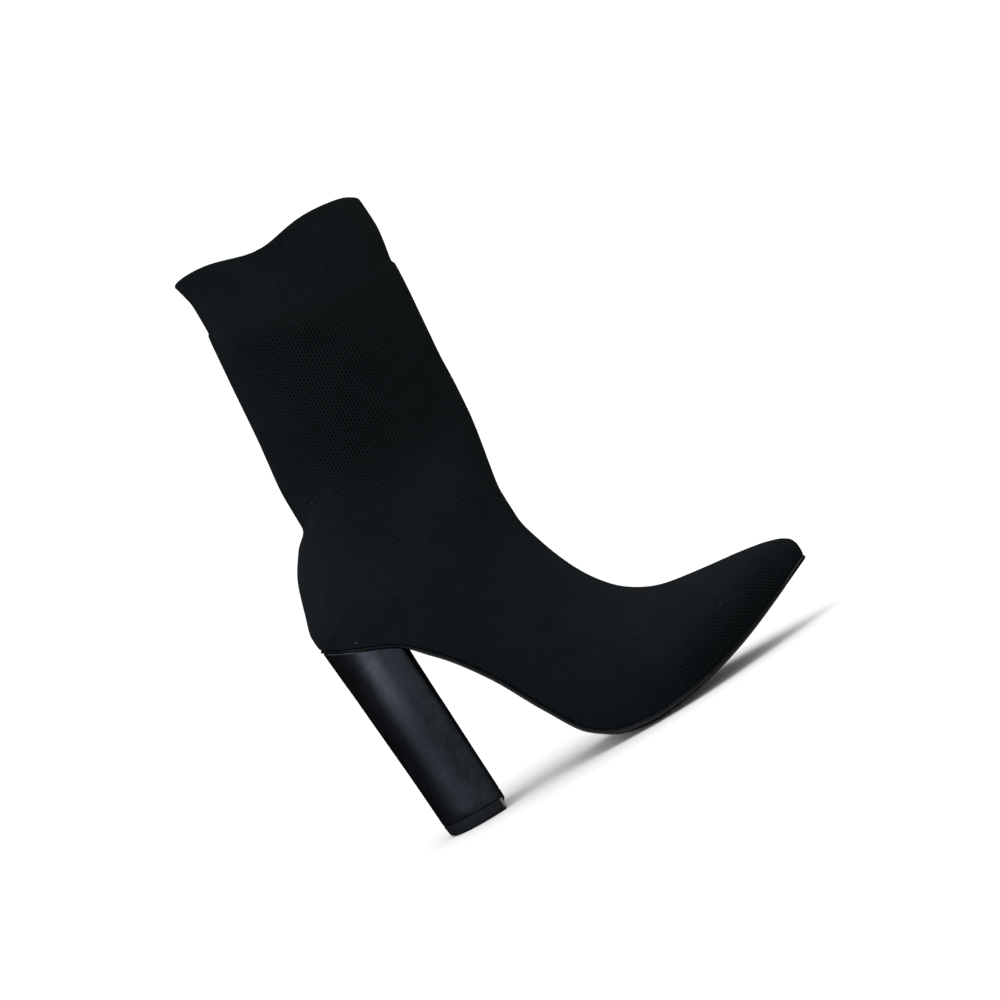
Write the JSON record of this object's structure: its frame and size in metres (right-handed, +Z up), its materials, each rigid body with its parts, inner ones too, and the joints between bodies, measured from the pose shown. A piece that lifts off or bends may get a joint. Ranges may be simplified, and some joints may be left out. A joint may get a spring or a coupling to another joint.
{
  "type": "sock boot",
  "caption": "Knit ankle sock boot for the right foot, with a ribbed cuff, pointed toe, thin outsole and tall block heel, standing empty on its sole.",
  "frame": {"origin": "centre of the heel's tread, on the ground", "axes": "+Z up the shaft, +X from heel to toe, -Y towards the outer side of the foot"},
  "size_m": [0.2216, 0.076, 0.2918],
  "materials": {
    "knit": "matt black knit with small holes, ribbed at the cuff",
    "sole_rubber": "dull black",
    "lining": "matt black sock lining",
    "heel_cover": "smooth satin black",
    "tip_rubber": "dull black"
  },
  "bodies": {
    "root": {"upper": "knit", "outsole": "sole_rubber", "insole": "lining", "heel": "heel_cover", "heel_tip": "tip_rubber"}
  },
  "joints": []
}
